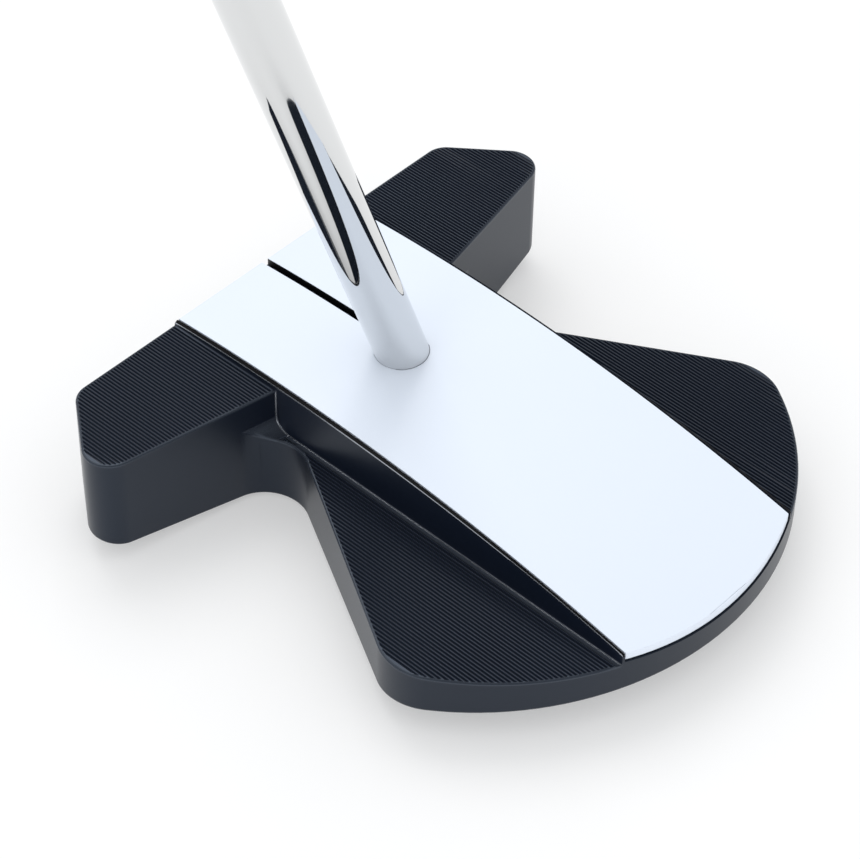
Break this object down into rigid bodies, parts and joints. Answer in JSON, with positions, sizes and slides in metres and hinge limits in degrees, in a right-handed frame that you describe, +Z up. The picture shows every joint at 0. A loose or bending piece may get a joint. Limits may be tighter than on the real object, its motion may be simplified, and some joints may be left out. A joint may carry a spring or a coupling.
{
  "type": "mallet putter",
  "caption": "Mallet putter: milled dark head with a raised pale sighting strip, leaning chrome shaft, grip and screw-in sole weights.",
  "frame": {"origin": "middle of the flat on the sole, which rests on the ground at address", "axes": "-Y is the way the face looks, towards the target; +X is towards the heel, where the player stands; +Z is up"},
  "size_m": [0.3699, 0.1091, 0.8375],
  "materials": {
    "head_body": "satin",
    "alignment_plate": "satin",
    "face_insert": "satin",
    "insert_pad": "matte",
    "sole_cover": "satin",
    "screws": "satin",
    "weights": "satin",
    "friction_rings": "matte",
    "bushings": "satin",
    "shaft": "polished",
    "tip_plug": "matte",
    "grip": "matte",
    "grip_tape": "matte",
    "grip_cap": "satin"
  },
  "bodies": {
    "putter": {"head_body": "head_body", "alignment_plate": "alignment_plate", "face_insert": "face_insert", "insert_pad": "insert_pad", "sole_cover": "sole_cover", "cover_screw_1": "screws", "cover_screw_2": "screws", "cover_screw_3": "screws", "cover_screw_4": "screws", "front_heel_bushing": "bushings", "front_toe_bushing": "bushings", "rear_heel_bushing": "bushings", "rear_toe_bushing": "bushings", "shaft": "shaft", "tip_plug": "tip_plug", "grip": "grip", "grip_tape": "grip_tape", "grip_cap": "grip_cap"},
    "front_heel_carrier": {"front_heel_ring": "friction_rings"},
    "front_heel_screw_weight": {"front_heel_weight": "weights"},
    "front_toe_carrier": {"front_toe_ring": "friction_rings"},
    "front_toe_screw_weight": {"front_toe_weight": "weights"},
    "rear_heel_carrier": {"rear_heel_ring": "friction_rings"},
    "rear_heel_screw_weight": {"rear_heel_weight": "weights"},
    "rear_toe_carrier": {"rear_toe_ring": "friction_rings"},
    "rear_toe_screw_weight": {"rear_toe_weight": "weights"}
  },
  "joints": [
    {"name": "front_heel_travel", "type": "slide", "parent": "putter", "child": "front_heel_carrier", "axis": [0, 0, -1], "range_m": [0, 0.003]},
    {"name": "front_heel_turn", "type": "hinge", "parent": "front_heel_carrier", "child": "front_heel_screw_weight", "pos_m": [0.039, -0.0275, 0], "axis": [0, 0, -1], "range_deg": [0, 1080]},
    {"name": "front_toe_travel", "type": "slide", "parent": "putter", "child": "front_toe_carrier", "axis": [0, 0, -1], "range_m": [0, 0.003]},
    {"name": "front_toe_turn", "type": "hinge", "parent": "front_toe_carrier", "child": "front_toe_screw_weight", "pos_m": [-0.039, -0.0275, 0], "axis": [0, 0, -1], "range_deg": [0, 1080]},
    {"name": "rear_heel_travel", "type": "slide", "parent": "putter", "child": "rear_heel_carrier", "axis": [0, 0, -1], "range_m": [0, 0.003]},
    {"name": "rear_heel_turn", "type": "hinge", "parent": "rear_heel_carrier", "child": "rear_heel_screw_weight", "pos_m": [0.032, 0.0315, 0], "axis": [0, 0, -1], "range_deg": [0, 1080]},
    {"name": "rear_toe_travel", "type": "slide", "parent": "putter", "child": "rear_toe_carrier", "axis": [0, 0, -1], "range_m": [0, 0.003]},
    {"name": "rear_toe_turn", "type": "hinge", "parent": "rear_toe_carrier", "child": "rear_toe_screw_weight", "pos_m": [-0.032, 0.0315, 0], "axis": [0, 0, -1], "range_deg": [0, 1080]}
  ],
  "couplings": [
    {"joint": "front_heel_travel", "follows": "front_heel_turn", "m_per_rad": 0.00015915},
    {"joint": "front_toe_travel", "follows": "front_toe_turn", "m_per_rad": 0.00015915},
    {"joint": "rear_heel_travel", "follows": "rear_heel_turn", "m_per_rad": 0.00015915},
    {"joint": "rear_toe_travel", "follows": "rear_toe_turn", "m_per_rad": 0.00015915}
  ]
}
